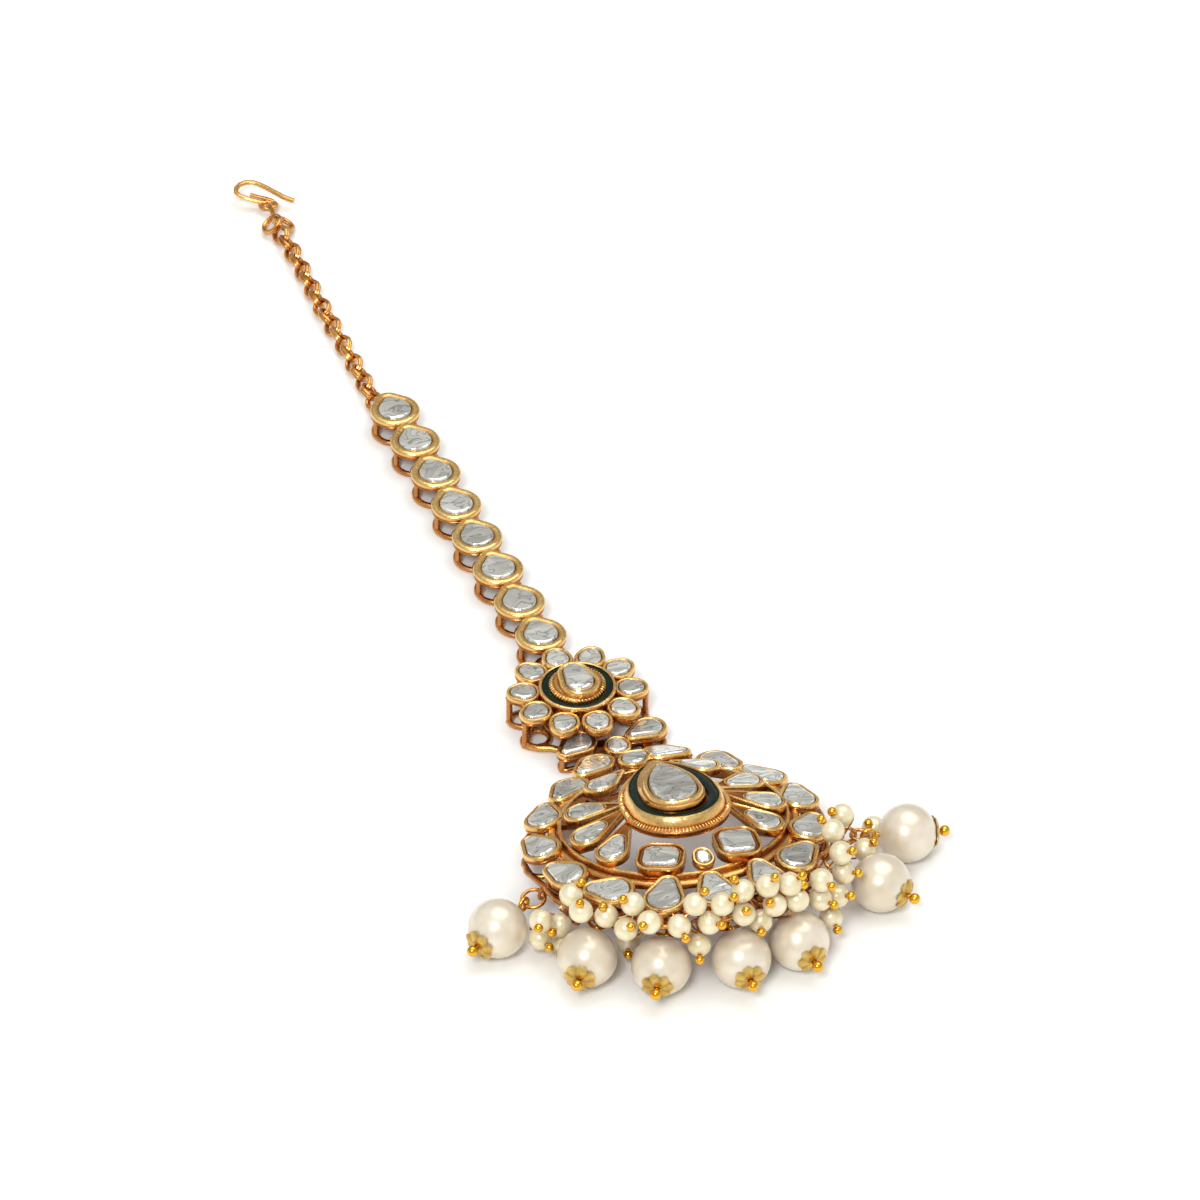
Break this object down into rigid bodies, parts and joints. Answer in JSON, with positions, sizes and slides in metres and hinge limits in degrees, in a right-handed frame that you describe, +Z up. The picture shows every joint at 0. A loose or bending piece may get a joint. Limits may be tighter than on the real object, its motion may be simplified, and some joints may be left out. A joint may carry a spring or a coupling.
{
  "type": "kundan maang tikka",
  "caption": "Forehead jewel of polki stones in gold metal: hair hook, fine chain, strap of pear links, rosette and round medallion with pearls at its front edge.",
  "frame": {"origin": "on the table under the middle of the whole jewel", "axes": "+Y runs along the strap from the medallion to the hook, +X to the right, +Z up from the table"},
  "size_m": [0.0688, 0.1976, 0.0176],
  "materials": {
    "antique_gold": "satin cast metal with antique gold finish, darker in the recesses",
    "ring_gold": "drawn wire, reddish gold finish",
    "cap_gold": "matte stamped sheet, yellow gold finish",
    "polki_stone": "foil-backed uncut stone, silvery grey, polished",
    "enamel": "glossy near-black green enamel",
    "large_pearl": "ivory pearl coating with a soft lustre",
    "small_pearl": "cream pearl coating"
  },
  "bodies": {
    "root": {"hair_hook": "antique_gold", "hook_chain": "antique_gold", "link_setting_1": "antique_gold", "link_setting_2": "antique_gold", "link_setting_3": "antique_gold", "link_setting_4": "antique_gold", "link_setting_5": "antique_gold", "link_setting_6": "antique_gold", "link_setting_7": "antique_gold", "link_setting_8": "antique_gold", "link_stone_1": "polki_stone", "link_stone_2": "polki_stone", "link_stone_3": "polki_stone", "link_stone_4": "polki_stone", "link_stone_5": "polki_stone", "link_stone_6": "polki_stone", "link_stone_7": "polki_stone", "link_stone_8": "polki_stone", "join_rings": "ring_gold", "rosette_frame": "antique_gold", "rosette_enamel": "enamel", "rosette_stone": "polki_stone", "rosette_petal_stones": "polki_stone", "medallion_frame": "antique_gold", "medallion_enamel": "enamel", "centre_stone": "polki_stone", "leaf_stones": "polki_stone", "crown_stones": "polki_stone", "border_stone_1": "polki_stone", "border_stone_2": "polki_stone", "border_stone_3": "polki_stone", "border_stone_4": "polki_stone", "border_stone_5": "polki_stone", "border_stone_6": "polki_stone", "border_stone_7": "polki_stone", "border_stone_8": "polki_stone", "border_stone_9": "polki_stone", "border_stone_10": "polki_stone", "border_stone_11": "polki_stone", "border_stone_12": "polki_stone", "border_stone_13": "polki_stone", "border_stone_14": "polki_stone", "border_stone_15": "polki_stone", "pearl_1": "large_pearl", "pearl_2": "large_pearl", "pearl_3": "large_pearl", "pearl_4": "large_pearl", "pearl_5": "large_pearl", "pearl_6": "large_pearl", "pearl_7": "large_pearl", "pearl_caps": "cap_gold", "pearl_pins": "antique_gold", "drop_links": "ring_gold", "small_pearls_left": "small_pearl", "small_pearls_right": "small_pearl", "small_pins_left": "antique_gold", "small_pins_right": "antique_gold"}
  },
  "joints": []
}
